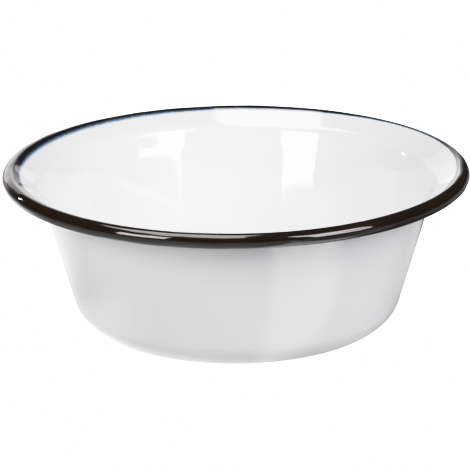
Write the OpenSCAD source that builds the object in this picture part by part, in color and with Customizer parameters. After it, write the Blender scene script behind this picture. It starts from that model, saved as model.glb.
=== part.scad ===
// Enamelled steel basin bowl: a drawn sheet-steel shell with a flared lip and a curled rim,
// a dark ground coat fired over all of it, white enamel inside and outside, and a black edging.
// Sizes are in millimetres. The bowl stands on z = 0 and is round about the z axis.

/* [Overall size] */
// Diameter over the rim, enamel included
rim_d = 180; // [160:1:240]
// Height from the table to the top of the rim
bowl_h = 62.5; // [45:0.5:100]

/* [Foot and base] */
// Diameter of the flat foot, where the corner starts to rise
foot_d = 100; // [80:1:120]
// Width of the flat ring that the bowl stands on
foot_ring_w = 8; // [4:0.5:14]
// Height by which the middle of the base is pressed up
base_lift = 1.2; // [0.4:0.1:2.5]
// Radius of the two bends in the step between the foot and the middle of the base
step_r = 6; // [4:0.5:12]
// Radius of the corner between the foot and the wall, outside
corner_r = 14.3; // [8:0.1:22]

/* [Lip and rim] */
// Width of the lip, from the crease at the wall's top to the rim's outer edge
lip_w = 12; // [10:0.5:18]
// Rise of the lip above the horizontal, in degrees
lip_angle = 30; // [20:1:40]
// Radius of the crease between the wall and the lip, outside
crease_bend_r = 4.5; // [2:0.5:8]
// Length of the flared band at the top of the wall, just below the crease
flare_w = 8; // [5:0.5:12]
// Turn by which the flared band leans out from the wall, in degrees
flare_turn = 8; // [3:0.5:14]
// Radius of the bend between the wall and the flared band, outside
flare_bend_r = 25; // [10:1:40]
// Diameter of the curled bead, enamel included
bead_d = 5.5; // [4.8:0.1:7]
// Gap left between the curl's edge and the underside of the lip
curl_gap = 0.6; // [0.3:0.1:1.2]
// Distance that the black edging runs down the lip, inside
edge_reach = 1; // [0.2:0.1:2]

/* [Sheet and enamel] */
// Thickness of the steel sheet
steel_t = 0.7; // [0.5:0.05:1]
// Thickness of the dark ground coat, on each side
ground_t = 0.15; // [0.1:0.01:0.2]
// Thickness of the white enamel, inside and outside
white_t = 0.2; // [0.1:0.01:0.3]
// Thickness of the black edging
edge_t = 0.2; // [0.1:0.01:0.3]

/* [Hidden] */
$fn = 180;
// Largest turn between two points of an arc, in degrees
arc_step = 6;

// Depth of each face, counted inwards from the outside of the white enamel
outer_white = 0;
outer_ground = outer_white + white_t;
steel_outside = outer_ground + ground_t;
steel_inside = steel_outside + steel_t;
inner_ground = steel_inside + ground_t;
inner_white = inner_ground + white_t;
edge_face = inner_ground + edge_t;

// Curled bead: its centre, and the radius that a face of depth 0 would have round it
bead_r = bead_d / 2;
bead_c = [rim_d / 2 - bead_r, bowl_h - bead_r];
bead_core_r = bead_r - edge_face;
lip_along = [cos(lip_angle), sin(lip_angle)];
lip_normal = [-sin(lip_angle), cos(lip_angle)];
bead_start = 90 + lip_angle;
curl_sweep = 360 - acos(1 - (edge_face + curl_gap) / bead_r);
curl_end = bead_start - curl_sweep;
// The ground coat also covers the cut edge of the curl
coat_end = curl_end - ground_t / bead_r * 180 / PI;
// Place along the lip, from the bead's tangent, where each white coat stops
inner_border = -edge_reach;
outer_border = bead_r * cos(curl_end - lip_angle);

// Corner between the foot and the wall
foot_r = foot_d / 2;
corner_c = [foot_r, corner_r];

// Crease: the place where the flared band and the lip would meet in a sharp edge
lip_foot = bead_c + bead_core_r * lip_normal;
crease_r = rim_d / 2 - lip_w;
crease = [crease_r, lip_foot.y - (lip_foot.x - crease_r) * tan(lip_angle)];

// Wall: tangent to the corner, and turned so that the flared band above it ends at the crease
to_crease = crease - corner_c;
wall_offset = corner_r + flare_w * sin(flare_turn);
wall_rise = atan2(to_crease.y, to_crease.x) + asin(wall_offset / norm(to_crease));
flare_rise = wall_rise - flare_turn;
flare_foot = crease - flare_w * [cos(flare_rise), sin(flare_rise)];

// Centre of a bend, outside, between two lines that rise at angles a and b and meet at a place
function bend_centre(place, r, a, b) =
    let (middle = (a + b) / 2)
    place + r / cos((a - b) / 2) * [sin(middle), -cos(middle)];

flare_c = bend_centre(flare_foot, flare_bend_r, wall_rise, flare_rise);
crease_c = bend_centre(crease, crease_bend_r, flare_rise, lip_angle);

// Step up from the foot to the middle of the base: two equal arcs, one each way
foot_inner_r = foot_r - foot_ring_w;
step_turn = acos(1 - base_lift / (2 * step_r));
panel_r = foot_inner_r - 2 * step_r * sin(step_turn);

// Points of an arc about c, from angle a to angle b, both ends included
function arc(c, r, a, b) =
    let (n = ceil(abs(b - a) / arc_step))
    [for (i = [0:n]) let (t = a + (b - a) * i / n) c + r * [cos(t), sin(t)]];

function reverse(points) = [for (i = [len(points) - 1:-1:0]) points[i]];

// Section of the bowl at one depth, from the axis to the lip's lower end
function bowl_line(depth) = concat(
    [[0, base_lift + depth]],
    arc([panel_r, base_lift - step_r], step_r + depth, 90, 90 - step_turn),
    arc([foot_inner_r, step_r], step_r - depth, -90 - step_turn, -90),
    arc(corner_c, corner_r - depth, -90, wall_rise - 90),
    arc(flare_c, flare_bend_r + depth, wall_rise + 90, flare_rise + 90),
    arc(crease_c, crease_bend_r + depth, flare_rise + 90, bead_start)
);

// Section of the curled bead at one depth, from the lip's upper end to an angle
function bead_line(depth, end) = arc(bead_c, bead_core_r + depth, bead_start, end);

// Point on the lip at one depth, counted along the lip from the bead's tangent
function lip_point(depth, along) = bead_c + (bead_core_r + depth) * lip_normal + along * lip_along;

// The whole sheet's section at one depth, from the axis to the end of the curl
function sheet_line(depth, end) = concat(bowl_line(depth), bead_line(depth, end));

// A white coat's section at one depth, from the axis to its border on the lip
function white_line(depth, border) = concat(bowl_line(depth), [lip_point(depth, border)]);

// The edging's section at one depth, from its border on the lip to the end of the curl
function edge_line(depth) = concat([lip_point(depth, inner_border)], bead_line(depth, curl_end));

// Turns the strip between two section lines about the axis
module turned_strip(lower, upper) {
    rotate_extrude() polygon(concat(lower, reverse(upper)));
}

module steel_shell() {
    color("slategray")
        turned_strip(sheet_line(steel_outside, curl_end), sheet_line(steel_inside, curl_end));
}

// One unbroken skin: it runs up the outside, over the curl's cut edge and down the inside
module ground_coat() {
    outside = sheet_line(outer_ground, coat_end);
    inside = sheet_line(inner_ground, coat_end);
    steel_top = sheet_line(steel_inside, curl_end);
    steel_under = sheet_line(steel_outside, curl_end);
    color("midnightblue")
        turned_strip(concat(outside, reverse(inside)), concat(steel_under, reverse(steel_top)));
}

module inner_enamel() {
    color("white")
        turned_strip(white_line(inner_ground, inner_border), white_line(inner_white, inner_border));
}

module outer_enamel() {
    color("whitesmoke")
        turned_strip(white_line(outer_white, outer_border), white_line(outer_ground, outer_border));
}

module rim_enamel() {
    color([0.09, 0.07, 0.06])
        turned_strip(edge_line(inner_ground), edge_line(edge_face));
}

steel_shell();
ground_coat();
inner_enamel();
outer_enamel();
rim_enamel();
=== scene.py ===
# Enamelled steel basin bowl: white inside and outside, black edging on the curled rim.
# The finished enamel coats are laid over the fixed frame as numpy surfaces, in metres.
import math

import bpy
import numpy as np
from mathutils import Matrix, Quaternion, Vector


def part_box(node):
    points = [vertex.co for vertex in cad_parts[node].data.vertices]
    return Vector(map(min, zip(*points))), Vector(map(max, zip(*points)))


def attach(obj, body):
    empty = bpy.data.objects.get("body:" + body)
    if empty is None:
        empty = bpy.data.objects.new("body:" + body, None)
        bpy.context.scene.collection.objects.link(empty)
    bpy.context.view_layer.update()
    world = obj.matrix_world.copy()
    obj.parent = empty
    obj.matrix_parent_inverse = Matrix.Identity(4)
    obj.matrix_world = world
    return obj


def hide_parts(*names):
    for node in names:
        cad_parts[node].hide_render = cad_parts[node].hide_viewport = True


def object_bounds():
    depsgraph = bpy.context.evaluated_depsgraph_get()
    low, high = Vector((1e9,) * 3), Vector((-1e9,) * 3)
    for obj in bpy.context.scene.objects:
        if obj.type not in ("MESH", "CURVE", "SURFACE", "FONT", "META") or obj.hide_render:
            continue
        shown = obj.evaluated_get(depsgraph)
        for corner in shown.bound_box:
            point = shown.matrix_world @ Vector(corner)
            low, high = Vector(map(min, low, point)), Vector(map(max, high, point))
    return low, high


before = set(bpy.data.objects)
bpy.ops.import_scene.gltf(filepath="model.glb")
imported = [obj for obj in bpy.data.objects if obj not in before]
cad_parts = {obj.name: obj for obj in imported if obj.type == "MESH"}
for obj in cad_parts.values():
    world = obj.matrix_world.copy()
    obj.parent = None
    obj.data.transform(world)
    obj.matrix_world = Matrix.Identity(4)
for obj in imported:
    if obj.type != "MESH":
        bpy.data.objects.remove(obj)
cadLow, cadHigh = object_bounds()
mm = 0.001
print("frame loaded:", sorted(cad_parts))


def nodePoints(name):
    # all vertices of one CAD node as an (n, 3) array
    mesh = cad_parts[name].data
    flat = np.empty(len(mesh.vertices) * 3)
    mesh.vertices.foreach_get("co", flat)
    return flat.reshape(-1, 3)


# Section sizes: the first few are read from the frame, the rest repeat the part's own values
outerPoints, innerPoints = nodePoints("outer_enamel"), nodePoints("inner_enamel")
outerReach = np.hypot(outerPoints[:, 0], outerPoints[:, 1])
innerReach = np.hypot(innerPoints[:, 0], innerPoints[:, 1])
sameHeight, sameReach = 0.001 * mm, 0.01 * mm  # points closer than this count as level or as one circle
footReach = outerReach[outerPoints[:, 2] < sameHeight]
edgeLow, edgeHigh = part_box("rim_enamel")
baseLift = outerPoints[outerReach < outerReach.min() + sameReach, 2].min()  # where the base is flat
baseTop = innerPoints[innerReach < innerReach.min() + sameReach, 2].max()
section = {
    "rimRadius": cadHigh.x,
    "height": cadHigh.z,
    "beadRadius": (edgeHigh.z - edgeLow.z) / 2,
    "footOuter": footReach.max(),
    "footInner": footReach.min(),
    "baseLift": baseLift,
    "wall": baseTop - baseLift,  # steel and all coats together
    "coat": 0.2 * mm,           # white enamel or black edging
    "lipWidth": 12 * mm,
    "lipRise": math.radians(30),
    "creaseRadius": 4.5 * mm,   # between the flared band and the lip
    "flareLength": 8 * mm,      # band at the top of the wall
    "flareTurn": math.radians(8),
    "flareRadius": 25 * mm,
    "cornerRadius": 14.3 * mm,
    "stepRadius": 6 * mm,
    "curlGap": 0.6 * mm,
    "points": {"step": 9, "corner": 33, "flare": 17, "crease": 25, "bead": 181},  # along each arc
}

# Camera, fitted to the rim, wall and foot outlines of the photograph
viewFit = {
    "elevation": 17.86,         # degrees above the table
    "distance": 12.0,           # in rim radii
    "aim": (-0.0088, 0.3772),   # across and up, in rim radii
    "roll": -0.615,             # degrees
    "rimSpan": 230.93,          # pixels that one rim radius takes at the aim point
    "imageWidth": 470,
    "sensor": 36,               # millimetres
    "clip": (0.01, 100),        # metres
}


def makeCamera(fit, rimRadius):
    # a camera that looks along +Y and down, rolled about its own line of sight
    tilt, roll = math.radians(fit["elevation"]), math.radians(fit["roll"])
    back = Vector((0, -math.cos(tilt), math.sin(tilt)))
    level, upright = Vector((1, 0, 0)), Vector((0, math.sin(tilt), math.cos(tilt)))
    right = math.cos(roll) * level + math.sin(roll) * upright
    up = math.cos(roll) * upright - math.sin(roll) * level
    aim = Vector((fit["aim"][0], 0, fit["aim"][1])) * rimRadius
    data = bpy.data.cameras.new("photoCamera")
    data.sensor_width = fit["sensor"]
    data.lens = fit["rimSpan"] * fit["distance"] / fit["imageWidth"] * data.sensor_width
    data.clip_start, data.clip_end = fit["clip"]
    camera = bpy.data.objects.new("photoCamera", data)
    axes = Matrix((right, up, back)).transposed().to_4x4()
    camera.matrix_world = Matrix.Translation(aim + back * fit["distance"] * rimRadius) @ axes
    bpy.context.scene.collection.objects.link(camera)
    bpy.context.scene.camera = camera


makeCamera(viewFit, section["rimRadius"])
print("camera set at the photograph's angle")


def arc(centre, radius, start, end, count):
    # points of a circle about a centre, from one angle to another
    turn = np.linspace(start, end, count)
    return np.stack([centre[0] + radius * np.cos(turn), centre[1] + radius * np.sin(turn)], axis=1)


def curlSweep(size):
    # turn of the curl, which stops a gap short of the lip's underside
    return 2 * math.pi - math.acos(1 - (size["wall"] + size["curlGap"]) / size["beadRadius"])


def bendCentre(place, radius, first, second):
    # centre of a bend between two lines that rise at two angles and would meet at a place
    middle = (first + second) / 2
    return place + radius / math.cos((first - second) / 2) * np.array([math.sin(middle), -math.cos(middle)])


def sectionParts(depth, size):
    # section in (r, z) at one depth below the outside: axis, two step arcs, corner, flare, crease, bead;
    # the flat base, foot, wall, flared band and lip are the straight lines between them
    quarter, rise, points = math.pi / 2, size["lipRise"], size["points"]
    bead = np.array([size["rimRadius"], size["height"]]) - size["beadRadius"]
    core = size["beadRadius"] - size["wall"]
    lipFoot = bead + core * np.array([-math.sin(rise), math.cos(rise)])
    creaseR = size["rimRadius"] - size["lipWidth"]
    crease = np.array([creaseR, lipFoot[1] - (lipFoot[0] - creaseR) * math.tan(rise)])
    corner = np.array([size["footOuter"], size["cornerRadius"]])
    gapR, gapZ = crease - corner
    offset = size["cornerRadius"] + size["flareLength"] * math.sin(size["flareTurn"])
    wallRise = math.atan2(gapZ, gapR) + math.asin(offset / math.hypot(gapR, gapZ))
    flareRise = wallRise - size["flareTurn"]
    flareFoot = crease - size["flareLength"] * np.array([math.cos(flareRise), math.sin(flareRise)])
    flareC = bendCentre(flareFoot, size["flareRadius"], wallRise, flareRise)
    creaseC = bendCentre(crease, size["creaseRadius"], flareRise, rise)
    stepR, lift = size["stepRadius"], size["baseLift"]
    stepTurn = math.acos(1 - lift / (2 * stepR))
    panelR = size["footInner"] - 2 * stepR * math.sin(stepTurn)
    return [
        np.array([[0, lift + depth]]),
        arc((panelR, lift - stepR), stepR + depth, quarter, quarter - stepTurn, points["step"]),
        arc((size["footInner"], stepR), stepR - depth, -quarter - stepTurn, -quarter, points["step"]),
        arc(corner, size["cornerRadius"] - depth, -quarter, wallRise - quarter, points["corner"]),
        arc(flareC, size["flareRadius"] + depth, wallRise + quarter, flareRise + quarter, points["flare"]),
        arc(creaseC, size["creaseRadius"] + depth, flareRise + quarter, rise + quarter, points["crease"]),
        arc(bead, core + depth, rise + quarter, rise + quarter - curlSweep(size), points["bead"]),
    ]


# The outside and inside lines have matching points: a point at any depth lies between two of them
insideParts = sectionParts(section["wall"], section)
outsideLine, insideLine = np.concatenate(sectionParts(0.0, section)), np.concatenate(insideParts)
lineNormal = (insideLine - outsideLine) / section["wall"]
lineRun = np.concatenate([[0], np.cumsum(np.hypot(*np.diff(insideLine, axis=0).T))])
partEnd = np.cumsum([len(part) for part in insideParts])
runAt = {  # length along the inside line at which each form starts
    "axis": 0.0,
    "step": lineRun[partEnd[0]],
    "foot": lineRun[partEnd[2] - 1],
    "corner": lineRun[partEnd[2]],
    "wall": lineRun[partEnd[3] - 1],
    "flare": lineRun[partEnd[3]],
    "crease": lineRun[partEnd[4]],
    "lip": lineRun[partEnd[5] - 1],
    "bead": lineRun[partEnd[5]],
    "curlEnd": lineRun[-1],
}
runAt["seam"] = runAt["bead"] + section["beadRadius"] * math.sin(curlSweep(section))  # at the curl's edge
print("section: " + ", ".join("%s %.1f" % (k, v / mm) for k, v in runAt.items()))


def sectionPoints(run, depth, turn):
    # point of the bowl: the section at (run, depth), carried round the axis; turn 0 is the front, -Y
    r = np.interp(run, lineRun, outsideLine[:, 0]) + depth * np.interp(run, lineRun, lineNormal[:, 0])
    z = np.interp(run, lineRun, outsideLine[:, 1]) + depth * np.interp(run, lineRun, lineNormal[:, 1])
    return np.stack([r * np.sin(turn), -r * np.cos(turn), z], axis=-1)


def turnsRound(columns):
    # even turns once round the axis
    return np.arange(columns) / columns * 2 * math.pi


def rowsThrough(forms, rows):
    # lengths along the section from form to form, each stretch with its own number of rows
    marks, counts = [runAt[k] for k in forms], rows.values()
    parts = [np.linspace(a, b, n, endpoint=False) for a, b, n in zip(marks[:-1], marks[1:], counts)]
    return np.concatenate(parts + [[marks[-1]]])


def roundWaves(run, turn, spec):
    # sum of standing waves: whole numbers of waves round the bowl times waves along the section
    rng = np.random.default_rng(spec["seed"])
    total = np.zeros(np.broadcast(run, turn).shape)
    for _ in range(spec["waves"]):
        around, along = rng.integers(*spec["around"]), 2 * math.pi / rng.uniform(*spec["length"])
        shiftA, shiftB = rng.uniform(0, 2 * math.pi, 2)
        total += np.cos(around * turn + shiftA) * np.cos(along * run + shiftB)
    return total * spec["height"] / math.sqrt(spec["waves"])


def smoothStep(low, high, value):
    # 0 below low, 1 above high, an easy S curve between them
    t = np.clip((value - low) / (high - low), 0, 1)
    return t * t * (3 - 2 * t)


sharpAngle = math.radians(35)   # edges that turn more than this aren't smoothed


def turnedMesh(name, points, uv, gap, closed):
    # mesh of a grid whose columns go once round the axis; rows run clockwise round the section.
    # An open grid starts and ends on the axis with one point each, a closed one joins last and first rows
    rows, cols = points.shape[:2]
    if closed:
        flatPoints, flatGap = points.reshape(-1, 3), gap.ravel()
        i, j = np.meshgrid(np.arange(rows), np.arange(cols), indexing="ij")
        caps = []
    else:
        flatPoints = np.concatenate([points[:1, 0], points[1:-1].reshape(-1, 3), points[-1:, 0]])
        flatGap = np.concatenate([gap[:1, 0], gap[1:-1].ravel(), gap[-1:, 0]])
        i, j = np.meshgrid(np.arange(1, rows - 2), np.arange(cols), indexing="ij")
        k = np.arange(cols)
        o, end = 0 * k, 0 * k + rows - 1
        caps = [(np.stack([o, o + 1, o + 1], 1), np.stack([k, k, k + 1], 1)),
                (np.stack([end, end - 1, end - 1], 1), np.stack([k, k + 1, k], 1))]
    i, j = i.ravel(), j.ravel()
    faces = [(np.stack([i, i + 1, i + 1, i], 1), np.stack([j, j, j + 1, j + 1], 1))] + caps

    def cornerIndex(row, col):
        if closed:
            return (row % rows) * cols + col % cols
        inner = 1 + (row - 1) * cols + col % cols
        return np.where(row == 0, 0, np.where(row == rows - 1, 1 + (rows - 2) * cols, inner))

    loops = np.concatenate([cornerIndex(r, c).ravel() for r, c in faces])
    sizes = np.concatenate([np.full(len(r), r.shape[1]) for r, c in faces])
    rowStep = uv[-1, 0] - uv[-2, 0]
    loopUv = np.concatenate([
        np.stack([c / cols, uv[r % rows, c % cols] + (r // rows) * rowStep], -1).reshape(-1, 2)
        for r, c in faces])
    mesh = bpy.data.meshes.new(name)
    mesh.vertices.add(len(flatPoints))
    mesh.vertices.foreach_set("co", flatPoints.astype(np.float32).ravel())
    mesh.loops.add(len(loops))
    mesh.loops.foreach_set("vertex_index", loops.astype(np.int32))
    mesh.polygons.add(len(sizes))
    mesh.polygons.foreach_set("loop_start", np.concatenate([[0], np.cumsum(sizes)[:-1]]).astype(np.int32))
    mesh.update(calc_edges=True)
    mesh.validate()
    mesh.uv_layers.new(name="wrap").data.foreach_set("uv", loopUv.astype(np.float32).ravel())
    mesh.attributes.new("edgeGap", "FLOAT", "POINT").data.foreach_set("value", flatGap.astype(np.float32))
    mesh.set_sharp_from_angle(angle=sharpAngle)
    piece = bpy.data.objects.new(name, mesh)
    bpy.context.scene.collection.objects.link(piece)
    print("%s: %d points, %d faces" % (name, len(flatPoints), len(sizes)))
    return piece


# Border between black and white on the lip: how far the black runs in from the top of the bead
border = {
    "mean": 1.80 * mm,
    # swells round the rim: how many, how high, and the first peak in degrees
    "swells": ((1, 0.82 * mm, 299), (2, 0.10 * mm, 83), (3, 0.32 * mm, 45), (4, 0.17 * mm, 76)),
    # places where it ran further: peak in degrees, reach, narrowness
    "runs": ((70, 2.0 * mm, 30), (172, 0.34 * mm, 14)),
    # width of the misty edge beyond it
    "fade": {"least": 0.85 * mm, "most": 2.7 * mm, "peak": 228, "power": 5},
    "ragged": {"seed": 11, "waves": 14, "around": (24, 130), "length": (1.0, 2.0), "height": 0.05 * mm},
    "ridge": 0.04 * mm,         # the black stands this proud of the white on the bead
    "sink": {"depth": 0.065 * mm, "width": 1.5 * mm, "back": 4.5 * mm},  # but first dips, most at the back
    "bow": {"mean": 0.12 * mm, "back": 0.06 * mm, "left": 0.20 * mm},  # the lip is not quite level
}


def borderRun(turn):
    # length along the section to the border: a few swells round the rim, narrow runs, a ragged brush line
    reach = border["mean"] + sum(h * np.cos(n * (turn - math.radians(p))) for n, h, p in border["swells"])
    reach = reach + sum(h * (0.5 + 0.5 * np.cos(turn - math.radians(p))) ** n for p, h, n in border["runs"])
    topRun = runAt["bead"] + section["lipRise"] * section["beadRadius"]  # the bead's highest line
    return topRun - reach - roundWaves(0.0, turn, border["ragged"])


def bowLift(run, turn):
    # lift of both coats, growing along the lip: one slow swell round the rim, highest at the back left
    bow = border["bow"]
    swell = bow["mean"] - bow["back"] * np.cos(turn) - bow["left"] * np.sin(turn)
    return swell * smoothStep(runAt["crease"], runAt["bead"], run)


def fadeWidth(turn):
    # width of the misty edge round the rim: one broad swell, raised to a power so that it falls off quickly
    fade = border["fade"]
    swell = (0.5 + 0.5 * np.cos(turn - math.radians(fade["peak"]))) ** fade["power"]
    return fade["least"] + (fade["most"] - fade["least"]) * swell


# White enamel inside
innerEnamel = {
    "columns": 360,
    "rows": {"axis": 24, "step": 8, "foot": 6, "corner": 24, "wall": 26, "flare": 14, "crease": 16},
    "lipRows": 26,
    "gather": 0.8,              # below 1 the rows on the lip stand closer towards the border
    "backRows": 40,
    "sag": {"seed": 3, "waves": 9, "around": (3, 13), "length": (30 * mm, 80 * mm), "height": 0.035 * mm},
    "calm": (8 * mm, 30 * mm),  # the sag fades out towards the axis
    "settle": 3 * mm,           # and over this width at the border
}


def makeInnerEnamel(size):
    # top face from the axis to the border at full depth plus sag, then back underneath at the ground coat
    turn, lipMark = turnsRound(size["columns"]), runAt["lip"]
    fixed = rowsThrough([*size["rows"], "lip"], size["rows"])
    edge = borderRun(turn)
    share = np.linspace(0, 1, size["lipRows"] + 1)[1:, None] ** size["gather"]
    top = np.concatenate([np.repeat(fixed[:, None], len(turn), 1), lipMark + share * (edge - lipMark)])
    share = np.linspace(1, 0, size["backRows"])[:, None]
    run = np.concatenate([top, share * edge])
    sag = roundWaves(top, turn, size["sag"]) * smoothStep(*size["calm"], top)
    face = section["wall"] + sag * smoothStep(0, size["settle"], edge - top) + bowLift(top, turn)
    back = np.full((size["backRows"], len(turn)), section["wall"] - section["coat"])
    depth = np.concatenate([face, back])
    gap = np.maximum(edge - run, 0) / fadeWidth(turn)
    return turnedMesh("innerEnamel", sectionPoints(run, depth, turn), run / runAt["curlEnd"], gap, False)


# White enamel outside and underneath
outerEnamel = {
    "columns": 360,
    "rows": {"axis": 24, "step": 8, "foot": 6, "corner": 26, "wall": 28, "flare": 14, "crease": 18,
             "lip": 12},
    "thin": 1.0 * mm,           # the white thins out over this width at the seam
    "backRows": 40,
    "sag": {"seed": 8, "waves": 9, "around": (3, 13), "length": (30 * mm, 80 * mm), "height": 0.035 * mm},
    "calm": (8 * mm, 30 * mm),
}


def makeOuterEnamel(size):
    # inner side from the axis to the seam at the ground coat, then back over the visible outside
    turn = turnsRound(size["columns"])
    face = rowsThrough([*size["rows"], "seam"], size["rows"])[::-1, None] + 0 * turn
    back = np.linspace(0, runAt["seam"], size["backRows"])[:, None] + 0 * turn
    run = np.concatenate([back, face])
    sag = roundWaves(face, turn, size["sag"]) * smoothStep(*size["calm"], face)
    standing = (face > runAt["step"]) & (face < runAt["corner"])  # the foot stays flat on the table
    depth = np.concatenate([np.full_like(back, section["coat"]), np.where(standing, 0, -sag)])
    gap = (runAt["seam"] - run) / size["thin"]
    return turnedMesh("outerEnamel", sectionPoints(run, depth, turn), run / runAt["curlEnd"], gap, False)


# Black edging round the curled bead
rimEnamel = {
    "columns": 540,
    "faceRows": 96,
    "backRows": 30,
    "flat": (0.10 * mm, math.radians(-15)),  # the curl is wider than high: by how much, and its long axis
    "oval": {"seed": 21, "waves": 10, "around": (5, 34), "height": 0.05 * mm},  # rolled, never quite even
    "sag": {"seed": 5, "waves": 8, "around": (14, 60), "length": (4 * mm, 9 * mm), "height": 0.012 * mm},
    "settle": (3 * mm, 2 * mm),  # oval and sag fade out over these widths at border and curl's end
    "seat": 0.01 * mm,          # at its border the black starts this far below the white
    "thin": 2.2 * mm,           # the black thins out over this width at the border
    # where the black has pooled: its crest stands past the start of the bead and grows over a width
    "pool": {"height": 0.50 * mm, "half": 1.7 * mm, "past": 0.4 * mm, "grow": 1.2 * mm, "at": 66,
             "narrow": 10},
}


def makeRimEnamel(size):
    # face from the border on the lip round the bead to the curl's end, back along the ground coat;
    # the bead's section is pressed slightly oval, and the oval turns and fades along the rim.
    # Depth is the wall, less the dip, plus the ridge, oval, sag and bow, plus a bell-shaped pool
    turn = turnsRound(size["columns"])
    edge = borderRun(turn)
    share = np.linspace(0, 1, size["faceRows"])[:, None]
    face = edge + share * (runAt["curlEnd"] - edge)
    back = edge + np.linspace(1, 0, size["backRows"])[:, None] * (runAt["curlEnd"] - edge)
    rng = np.random.default_rng(size["oval"]["seed"])
    bent = (face - runAt["bead"]) / section["beadRadius"]
    oval = np.zeros_like(face)
    for _ in range(size["oval"]["waves"]):
        around = rng.integers(*size["oval"]["around"])
        shiftA, shiftB = rng.uniform(0, 2 * math.pi, 2)
        oval += np.cos(around * turn + shiftA) * np.cos(2 * bent + shiftB)
    oval *= size["oval"]["height"] / math.sqrt(size["oval"]["waves"])
    oval += size["flat"][0] * np.cos(2 * (section["lipRise"] + math.pi / 2 - bent - size["flat"][1]))
    sink, gone = border["sink"], face - edge
    dip = sink["depth"] * (0.5 - 0.5 * np.cos(turn)) ** 2
    near = np.clip(gone / sink["width"], 0, 1)
    rise = smoothStep(sink["width"], sink["back"], gone)
    seat, pool = size["seat"], size["pool"]
    atBorder, atEnd = size["settle"]
    left = smoothStep(0, atEnd, runAt["curlEnd"] - face)
    loose = smoothStep(0, atBorder, gone) * left
    depth = section["wall"] - seat - dip * near * (2 - near) + (border["ridge"] + seat + dip) * rise
    depth = depth + (oval + roundWaves(face, turn, size["sag"])) * loose
    depth = depth + bowLift(face, turn) * left
    crest = np.exp(-((face - runAt["bead"] - pool["past"]) / pool["half"]) ** 2)
    crest = crest * smoothStep(0, pool["grow"], gone)
    swell = (0.5 + 0.5 * np.cos(turn - math.radians(pool["at"]))) ** pool["narrow"]
    depth = depth + pool["height"] * swell * crest
    run = np.concatenate([face, back])
    depth = np.concatenate([depth, np.full_like(back, section["wall"] - section["coat"])])
    gap = (run - edge) / size["thin"]
    return turnedMesh("rimEnamel", sectionPoints(run, depth, turn), run / runAt["curlEnd"], gap, True)


pieces = {
    "inner_enamel": (makeInnerEnamel(innerEnamel), "white_enamel"),
    "outer_enamel": (makeOuterEnamel(outerEnamel), "white_enamel"),
    "rim_enamel": (makeRimEnamel(rimEnamel), "black_enamel"),
}
for node, (piece, slot) in pieces.items():
    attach(piece, "root")
    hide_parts(node)
print("enamel coats placed over the frame")


def makeGroup(name, inputs, outputs):
    # empty shader node group with named sockets; returns the group and its two end nodes
    group = bpy.data.node_groups.new(name, "ShaderNodeTree")
    for label, kind, value in inputs:
        socket = group.interface.new_socket(label, in_out="INPUT", socket_type=kind)
        if value is not None:
            socket.default_value = value
    for label, kind in outputs:
        group.interface.new_socket(label, in_out="OUTPUT", socket_type=kind)
    return group, group.nodes.new("NodeGroupInput"), group.nodes.new("NodeGroupOutput")


def addNode(tree, kind, settings=None, **values):
    # one node, its settings, and values or links for its sockets by name
    node = tree.nodes.new(kind)
    for key, value in (settings or {}).items():
        setattr(node, key, value)
    for key, value in values.items():
        socket = node.inputs[int(key[1:])] if key[0] == "i" and key[1:].isdigit() else node.inputs[key]
        if isinstance(value, bpy.types.NodeSocket):
            tree.links.new(value, socket)
        else:
            socket.default_value = value
    return node


def remap(tree, value, low, high, toLow, toHigh, kind="SMOOTHSTEP"):
    # value between low and high carried over to toLow and toHigh
    node = addNode(tree, "ShaderNodeMapRange", {"interpolation_type": kind, "clamp": True})
    tree.links.new(value, node.inputs["Value"])
    for key, number in (("From Min", low), ("From Max", high), ("To Min", toLow), ("To Max", toHigh)):
        if isinstance(number, bpy.types.NodeSocket):
            tree.links.new(number, node.inputs[key])
        else:
            node.inputs[key].default_value = number
    return node.outputs["Result"]


def mixColour(tree, share, first, second):
    # first colour where share is 0, second where it is 1
    node = addNode(tree, "ShaderNodeMix", {"data_type": "RGBA"})
    for index, value in ((0, share), (6, first), (7, second)):
        if isinstance(value, bpy.types.NodeSocket):
            tree.links.new(value, node.inputs[index])
        else:
            node.inputs[index].default_value = value
    return node.outputs[2]


def tintRamp(tree, share, tints):
    # colour that runs through a row of tints, evenly spaced, as share goes from 0 to 1
    node = addNode(tree, "ShaderNodeValToRGB", Fac=share)
    stops = node.color_ramp.elements
    while len(stops) < len(tints):
        stops.new(0.5)
    for index, tint in enumerate(tints):
        stops[index].position = index / (len(tints) - 1)
        stops[index].color = tint
    return node.outputs["Color"]


def math2(tree, operation, first, second):
    # one sum or product of two values
    return addNode(tree, "ShaderNodeMath", {"operation": operation}, i0=first, i1=second).outputs[0]


# Noise levels that count as none and as full, and the scale of the wear against that of the peel
glazeNoise = {"clouds": (0.3, 0.7), "wear": (0.3, 0.75), "wearScale": 0.35}


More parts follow.
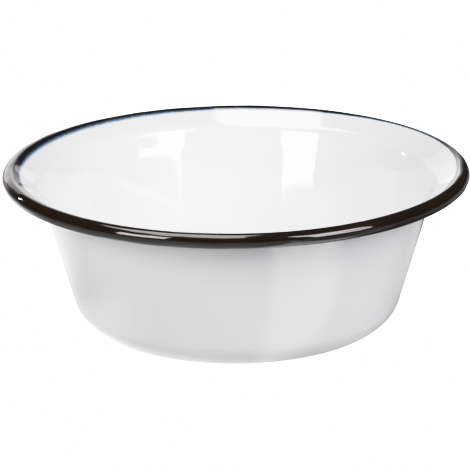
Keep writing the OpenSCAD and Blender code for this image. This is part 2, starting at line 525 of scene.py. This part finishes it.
def makeFiredGlaze(noise):
    # glaze that has flowed in the kiln: cloudy tone, fine orange peel, and gloss that varies a little
    group, start, end = makeGroup("firedGlaze", [
        ("Vector", "NodeSocketVector", None), ("cloudScale", "NodeSocketFloat", 45.0),
        ("peelScale", "NodeSocketFloat", 240.0), ("roughLow", "NodeSocketFloat", 0.05),
        ("roughHigh", "NodeSocketFloat", 0.1)],
        [("tone", "NodeSocketFloat"), ("rough", "NodeSocketFloat"), ("relief", "NodeSocketFloat")])
    place = start.outputs["Vector"]
    clouds = addNode(group, "ShaderNodeTexNoise", Vector=place, Scale=start.outputs["cloudScale"], Detail=3.0)
    peel = addNode(group, "ShaderNodeTexNoise", Vector=place, Scale=start.outputs["peelScale"], Detail=1.0)
    wearScale = math2(group, "MULTIPLY", start.outputs["peelScale"], noise["wearScale"])
    wear = addNode(group, "ShaderNodeTexNoise", Vector=place, Scale=wearScale, Detail=4.0)
    group.links.new(remap(group, clouds.outputs[0], *noise["clouds"], 0.0, 1.0), end.inputs["tone"])
    group.links.new(remap(group, wear.outputs[0], *noise["wear"], start.outputs["roughLow"],
                          start.outputs["roughHigh"]), end.inputs["rough"])
    group.links.new(peel.outputs[0], end.inputs["relief"])
    return group


def makeThinEdge():
    # 0 at a coat's border, rising to 1 where the coat has its full strength, with a grainy, uneven front
    group, start, end = makeGroup("thinEdge", [
        ("Vector", "NodeSocketVector", None), ("edgeGap", "NodeSocketFloat", 0.0),
        ("grain", "NodeSocketFloat", 0.5), ("grainScale", "NodeSocketFloat", 900.0)],
        [("strength", "NodeSocketFloat")])
    grain = addNode(group, "ShaderNodeTexNoise", Vector=start.outputs["Vector"],
                    Scale=start.outputs["grainScale"], Detail=3.0)
    shift = math2(group, "MULTIPLY", math2(group, "SUBTRACT", grain.outputs[0], 0.5), start.outputs["grain"])
    place = math2(group, "ADD", start.outputs["edgeGap"], shift)
    group.links.new(remap(group, place, 0.0, 1.0, 0.0, 1.0, "LINEAR"), end.inputs["strength"])
    return group


firedGlaze, thinEdge = makeFiredGlaze(glazeNoise), makeThinEdge()


def startMaterial(name):
    # material with a plain glossy shader; returns it with its tree and shader
    material = bpy.data.materials.new(name)
    material.use_nodes = True
    return material, material.node_tree, material.node_tree.nodes["Principled BSDF"]


def useGroup(tree, group, **values):
    # a node group placed in a material, with values or links for its inputs
    return addNode(tree, "ShaderNodeGroup", {"node_tree": group}, **values)


def layGlaze(tree, shader, place, finish):
    # fired glaze on a shader: roughness, fine relief, and the cloudy body colour, which it returns
    glaze = useGroup(tree, firedGlaze, Vector=place, cloudScale=finish["cloudScale"],
                     peelScale=finish["peelScale"], roughLow=finish["rough"][0], roughHigh=finish["rough"][1])
    tree.links.new(glaze.outputs["rough"], shader.inputs["Roughness"])
    bump = addNode(tree, "ShaderNodeBump", Height=glaze.outputs["relief"], Distance=finish["peelDepth"],
                   Strength=1.0)
    tree.links.new(bump.outputs["Normal"], shader.inputs["Normal"])
    return mixColour(tree, glaze.outputs["tone"], finish["body"], finish["cloud"])


def edgeStrength(tree, place, finish):
    # strength of a coat near its border, from the mesh's own edgeGap
    gap = addNode(tree, "ShaderNodeAttribute", {"attribute_name": "edgeGap"}).outputs["Fac"]
    return useGroup(tree, thinEdge, Vector=place, edgeGap=gap, grain=finish["grain"]).outputs["strength"]


def objectPlace(tree):
    # Object coordinates, in metres
    return addNode(tree, "ShaderNodeTexCoord").outputs["Object"]


whiteFinish = {
    "body": (0.926, 0.927, 0.935, 1),
    "cloud": (0.908, 0.911, 0.923, 1),
    # share of the white that is left where black mist lies over it, from the border outwards
    "mist": ((0.010, 0.0125, 0.020, 1), (0.05, 0.075, 0.108, 1), (0.20, 0.27, 0.35, 1),
             (0.53, 0.65, 0.77, 1), (1, 1, 1, 1)),
    "grain": 0.35,
    "rough": (0.045, 0.085),
    "cloudScale": 38.0,
    "peelScale": 230.0,
    "peelDepth": 0.012 * mm,
    "ior": 1.58,
}


def makeWhiteEnamel(finish):
    # cool white glass: faint clouds, and a blue-black mist at the border
    material, tree, shader = startMaterial("whiteEnamel")
    place = objectPlace(tree)
    body = layGlaze(tree, shader, place, finish)
    mist = tintRamp(tree, edgeStrength(tree, place, finish), finish["mist"])
    misted = addNode(tree, "ShaderNodeMix", {"data_type": "RGBA", "blend_type": "MULTIPLY"},
                     i0=1.0, i6=body, i7=mist)
    tree.links.new(misted.outputs[2], shader.inputs["Base Color"])
    shader.inputs["IOR"].default_value = finish["ior"]
    return material


blackFinish = {
    "body": (0.0110, 0.0064, 0.0043, 1),
    "cloud": (0.0155, 0.0090, 0.0058, 1),
    "thin": (0.005, 0.0085, 0.0165, 1),  # cobalt shows where the black is thin
    "grain": 0.3,
    "rough": (0.05, 0.10),
    "cloudScale": 90.0,
    "peelScale": 300.0,
    "peelDepth": 0.010 * mm,
    "ior": 1.58,
}


def makeBlackEnamel(finish):
    # brown-black glass with a navy cast along its border
    material, tree, shader = startMaterial("blackEnamel")
    place = objectPlace(tree)
    body = layGlaze(tree, shader, place, finish)
    colour = mixColour(tree, edgeStrength(tree, place, finish), finish["thin"], body)
    tree.links.new(colour, shader.inputs["Base Color"])
    shader.inputs["IOR"].default_value = finish["ior"]
    return material


groundFinish = {
    "body": (0.010, 0.013, 0.026, 1),
    "cloud": (0.020, 0.022, 0.034, 1),
    "rough": (0.12, 0.3),
    "cloudScale": 120.0,
    "peelScale": 500.0,
    "peelDepth": 0.01 * mm,
    "metal": 0.0,
}
steelFinish = {
    "body": (0.50, 0.50, 0.49, 1),
    "cloud": (0.33, 0.32, 0.31, 1),
    "rough": (0.3, 0.5),
    "cloudScale": 200.0,
    "peelScale": 900.0,
    "peelDepth": 0.005 * mm,
    "metal": 1.0,
}


def makeUnderCoat(name, finish):
    # what lies under the cover coats: dark blue ground enamel, duller than they are, or pickled sheet steel
    material, tree, shader = startMaterial(name)
    body = layGlaze(tree, shader, objectPlace(tree), finish)
    tree.links.new(body, shader.inputs["Base Color"])
    shader.inputs["Metallic"].default_value = finish["metal"]
    return material


whiteEnamel, blackEnamel = makeWhiteEnamel(whiteFinish), makeBlackEnamel(blackFinish)
pieces["inner_enamel"][0].data.materials.append(whiteEnamel)
pieces["outer_enamel"][0].data.materials.append(whiteEnamel)
pieces["rim_enamel"][0].data.materials.append(blackEnamel)
hidden = {
    "ground_coat": makeUnderCoat("groundEnamel", groundFinish),
    "steel_shell": makeUnderCoat("sheetSteel", steelFinish),
}
for node, material in hidden.items():
    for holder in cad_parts[node].material_slots:
        holder.material = material
print("enamels and steel assigned")

# Studio: soft lights placed by angle about the bowl, azimuth 0 towards the camera and 90 to its right
rightPlace = {"at": (49.5, 29.5, 0.90), "radiance": (9.2, 9.2, 9.4)}
studio = {
    "leftBox": {"at": (-44.5, 25.6, 0.55), "size": (0.216, 0.236), "roll": 5.5, "radiance": (10, 10, 10)},
    # the box on the right: a dark bar crosses its outer half, and a strip hangs below its inner corner
    "rightBox": {**rightPlace, "shift": (-0.068, 0.060), "size": (0.256, 0.584)},
    "rightUpper": {**rightPlace, "shift": (0.158, 0.198), "size": (0.196, 0.308)},
    "rightLower": {**rightPlace, "shift": (0.158, -0.123), "size": (0.196, 0.218)},
    "rightWing": {**rightPlace, "shift": (-0.224, 0.225), "size": (0.056, 0.254)},
    "rightStrip": {**rightPlace, "shift": (-0.164, -0.252), "size": (0.070, 0.040), "radiance": (3, 3, 3)},
    # above the bowl: one light for reflections alone, and one for the soft fill alone
    "overhead": {"at": (-90, 76.5, 0.834), "size": (0.491, 0.76), "radiance": (6.6, 6.25, 6.25),
                 "down": True, "diffuse": False},
    "ceiling": {"at": (-60, 75, 0.86), "size": (0.8, 0.8), "radiance": (1.75, 1.72, 1.70),
                "down": True, "glossy": False},
    # a small lamp low at the back left, which glints in the crease and on the bead
    "spark": {"at": (-124.3, 17.0, 0.637), "size": (0.018, 0.065), "radiance": (105, 105, 105),
              "diffuse": False},
    "backCard": {"at": (-163, 14, 1.0), "size": (0.56, 0.42), "radiance": (1.05, 1.02, 1.03)},
    # a small card behind, which shows in the lip's left end
    "sideCard": {"at": (171.3, 7.0, 0.49), "size": (0.126, 0.155), "radiance": (1.12, 1.09, 1.12),
                 "diffuse": False},
}
# Light that the table throws back, for reflections alone: a base level, and patches with soft edges.
# An edge is a place in millimetres, the way it faces in degrees (0 is +X, 90 is +Y), and its half softness
tableGlow = {
    "half": 0.24,               # the sheet's half width
    "count": 161,               # points along each side
    "drop": 0.1 * mm,           # the sheet lies between the foot and the table
    "base": 0.14,
    "patches": {
        "frontRight": {"level": 1.75, "edges": ((17, -78, 25.8, 3), (60, -65, -97.8, 7), (76, 0, 180, 10))},
        "front": {"level": 0.55, "edges": ((-55, -80, -5, 45), (60, -65, -97.8, 7), (0, -122, 90, 8))},
        "left": {"level": 0.68, "edges": ((-45, -60, 225, 40), (-100, 0, -90, 40))},
        "leftBack": {"level": 1.9, "edges": ((-80, 0, 180, 12), (-80, 10, 90, 35))},
        "leftFoot": {"level": 1.15, "edges": ((-48, 0, 180, 8), (0, -55, 90, 12), (-78, 0, 0, 10))},
        "rightBack": {"level": 0.42, "edges": ((95, 25, 120, 20), (60, 0, 0, 8), (0, 78, -90, 14))},
    },
    # a ring close round the foot, brightest at one azimuth: its edges are radius and half softness
    "ring": {"level": 0.73, "lean": 1.30, "towards": -73, "least": 0.45, "inner": (49, 3), "outer": (62, 4)},
}
room = {
    "above": (0.03, 0.03, 0.03, 1),
    "below": (0.53, 0.53, 0.535, 1),
    "sweep": (0.9, 0.88, 0.9, 1),
    "backdrop": (1, 1, 1, 1),
    # parts of a direction at which each region starts or ends
    "horizon": (-0.15, 0.05),   # Z: table light ends
    "sweepFront": (0.72, 0.92),  # Y: sweep starts
    "sweepTop": (0.22, 0.42),   # Z: sweep ends
    "sweepRight": (0.12, 0.26),  # X: sweep ends
}
table = {"half": 8.0, "drop": 0.2 * mm, "colour": (0.86, 0.86, 0.87, 1), "rough": 0.9, "veil": 2.6}


def addSoftbox(name, light, aim):
    # rectangle of light at (azimuth, elevation, distance) from the aim point, its radiance even all over;
    # a shift moves it within its own plane, across and up
    side, rise, away = math.radians(light["at"][0]), math.radians(light["at"][1]), light["at"][2]
    outward = Vector((math.sin(side) * math.cos(rise), -math.cos(side) * math.cos(rise), math.sin(rise)))
    facing = Vector((0, 0, -1)) if light.get("down") else -outward
    turned = facing.to_track_quat("-Z", "Y")
    data = bpy.data.lights.new(name, "AREA")
    data.shape = "RECTANGLE"
    data.size, data.size_y = light["size"]
    data.color = light["radiance"]
    data.energy = math.pi * data.size * data.size_y
    lamp = bpy.data.objects.new(name, data)
    lamp.location = aim + outward * away + turned @ Vector((*light.get("shift", (0, 0)), 0))
    lamp.rotation_mode = "QUATERNION"
    lamp.rotation_quaternion = turned @ Quaternion((0, 0, 1), math.radians(light.get("roll", 0)))
    lamp.visible_camera = False
    lamp.visible_diffuse, lamp.visible_glossy = light.get("diffuse", True), light.get("glossy", True)
    bpy.context.scene.collection.objects.link(lamp)


def glowLevel(x, y, settings):
    # level at places on the table: the base, plus each patch's level times all its edges, plus the ring's
    level = np.full(x.shape, float(settings["base"]))
    for patch in settings["patches"].values():
        mask = np.ones(x.shape)
        for px, py, facing, soft in patch["edges"]:
            way = math.radians(facing)
            gap = (x - px * mm) * math.cos(way) + (y - py * mm) * math.sin(way)
            mask = mask * smoothStep(-soft * mm, soft * mm, gap)
        level = level + patch["level"] * mask
    ring, reach, side = settings["ring"], np.hypot(x, y), np.arctan2(x, -y)
    (inner, innerSoft), (outer, outerSoft) = ring["inner"], ring["outer"]
    mask = smoothStep((inner - innerSoft) * mm, (inner + innerSoft) * mm, reach)
    mask = mask * smoothStep(-outerSoft * mm, outerSoft * mm, outer * mm - reach)
    strength = ring["level"] + ring["lean"] * np.cos(side - math.radians(ring["towards"]))
    return level + np.maximum(strength, ring["least"]) * mask


def makeTableGlow(settings):
    # level sheet just above the table: each point has its own brightness, which reflections alone see
    side = np.linspace(-settings["half"], settings["half"], settings["count"])
    x, y = np.meshgrid(side, side)
    index = np.arange(x.size).reshape(x.shape)
    quads = np.stack([index[:-1, :-1], index[:-1, 1:], index[1:, 1:], index[1:, :-1]], -1).reshape(-1, 4)
    mesh = bpy.data.meshes.new("tableGlow")
    points = np.stack([x, y, 0 * x - settings["drop"]], -1).reshape(-1, 3)
    mesh.from_pydata(points.tolist(), [], quads.tolist())
    level = glowLevel(x, y, settings).ravel().astype(np.float32)
    mesh.attributes.new("glow", "FLOAT", "POINT").data.foreach_set("value", level)
    sheet = bpy.data.objects.new("tableGlow", mesh)
    material, tree, shader = startMaterial("tableGlow")
    shader.inputs["Base Color"].default_value = (0, 0, 0, 1)
    shader.inputs["Specular IOR Level"].default_value = 0
    shader.inputs["Emission Strength"].default_value = 1
    glow = addNode(tree, "ShaderNodeAttribute", {"attribute_name": "glow"})
    tree.links.new(glow.outputs["Color"], shader.inputs["Emission Color"])
    mesh.materials.append(material)
    sheet.visible_camera = sheet.visible_diffuse = sheet.visible_shadow = False
    bpy.context.scene.collection.objects.link(sheet)


def makeRoom(settings):
    # dim room above, table light below, a pale sweep low behind, and a white backdrop for the camera alone
    world = bpy.data.worlds.new("studioRoom")
    world.use_nodes = True
    tree = world.node_tree
    tree.nodes.clear()
    place = addNode(tree, "ShaderNodeTexCoord").outputs["Generated"]
    way = addNode(tree, "ShaderNodeSeparateXYZ", Vector=place)
    below = remap(tree, way.outputs["Z"], *settings["horizon"], 1.0, 0.0)
    behind = math2(tree, "MULTIPLY", remap(tree, way.outputs["Y"], *settings["sweepFront"], 0.0, 1.0),
                   remap(tree, way.outputs["Z"], *settings["sweepTop"], 1.0, 0.0))
    behind = math2(tree, "MULTIPLY", behind,
                   remap(tree, way.outputs["X"], *settings["sweepRight"], 1.0, 0.0))
    upper = mixColour(tree, behind, settings["above"], settings["sweep"])
    glow = addNode(tree, "ShaderNodeBackground", Strength=1.0,
                   Color=mixColour(tree, below, upper, settings["below"]))
    backdrop = addNode(tree, "ShaderNodeBackground", Color=settings["backdrop"], Strength=1.0)
    path = addNode(tree, "ShaderNodeLightPath")
    mix = addNode(tree, "ShaderNodeMixShader", i0=path.outputs["Is Camera Ray"], i1=glow.outputs[0],
                  i2=backdrop.outputs[0])
    out = tree.nodes.new("ShaderNodeOutputWorld")
    tree.links.new(mix.outputs[0], out.inputs["Surface"])
    bpy.context.scene.world = world


def makeTable(settings):
    # plain pale table top, seen from above only, so that the foot can be looked at from below
    half, drop = settings["half"], settings["drop"]
    mesh = bpy.data.meshes.new("tableTop")
    mesh.from_pydata([(-half, -half, -drop), (half, -half, -drop), (half, half, -drop), (-half, half, -drop)],
                     [], [(0, 1, 2, 3)])
    top = bpy.data.objects.new("tableTop", mesh)
    material, tree, shader = startMaterial("tablePaint")
    shader.inputs["Base Color"].default_value = settings["colour"]
    shader.inputs["Roughness"].default_value = settings["rough"]
    shader.inputs["Emission Color"].default_value = (1, 1, 1, 1)
    shader.inputs["Emission Strength"].default_value = settings["veil"]
    under = addNode(tree, "ShaderNodeBsdfTransparent")
    facing = addNode(tree, "ShaderNodeNewGeometry")
    mix = addNode(tree, "ShaderNodeMixShader", i0=facing.outputs["Backfacing"], i1=shader.outputs[0],
                  i2=under.outputs[0])
    tree.links.new(mix.outputs[0], tree.nodes["Material Output"].inputs["Surface"])
    mesh.materials.append(material)
    top.visible_diffuse = top.visible_glossy = False
    bpy.context.scene.collection.objects.link(top)


# Camera response: straight in the dark and middle tones, a soft shoulder above them
film = {
    "white": 2.4,
    # light in, light shown
    "tones": ((0.3, 0.3), (0.6, 0.63), (0.8, 0.75), (1.0, 0.82), (1.3, 0.91), (1.7, 0.985)),
}


def setFilm(settings):
    # tone curve through the pairs of light in and light shown, flat above white
    view = bpy.context.scene.view_settings
    view.view_transform = "Standard"
    view.use_curve_mapping = True
    curve = view.curve_mapping
    curve.extend = "HORIZONTAL"
    curve.white_level = (settings["white"],) * 3
    allColours = curve.curves[3]
    for lightIn, shown in settings["tones"]:
        allColours.points.new(lightIn / settings["white"], shown)
    curve.update()


aimShare = 0.8  # the lights look at a point this far up the bowl
aimPoint = Vector((0, 0, section["height"] * aimShare))
for name, light in studio.items():
    addSoftbox(name, light, aimPoint)
makeTableGlow(tableGlow)
makeRoom(room)
makeTable(table)
setFilm(film)
print("studio lit")
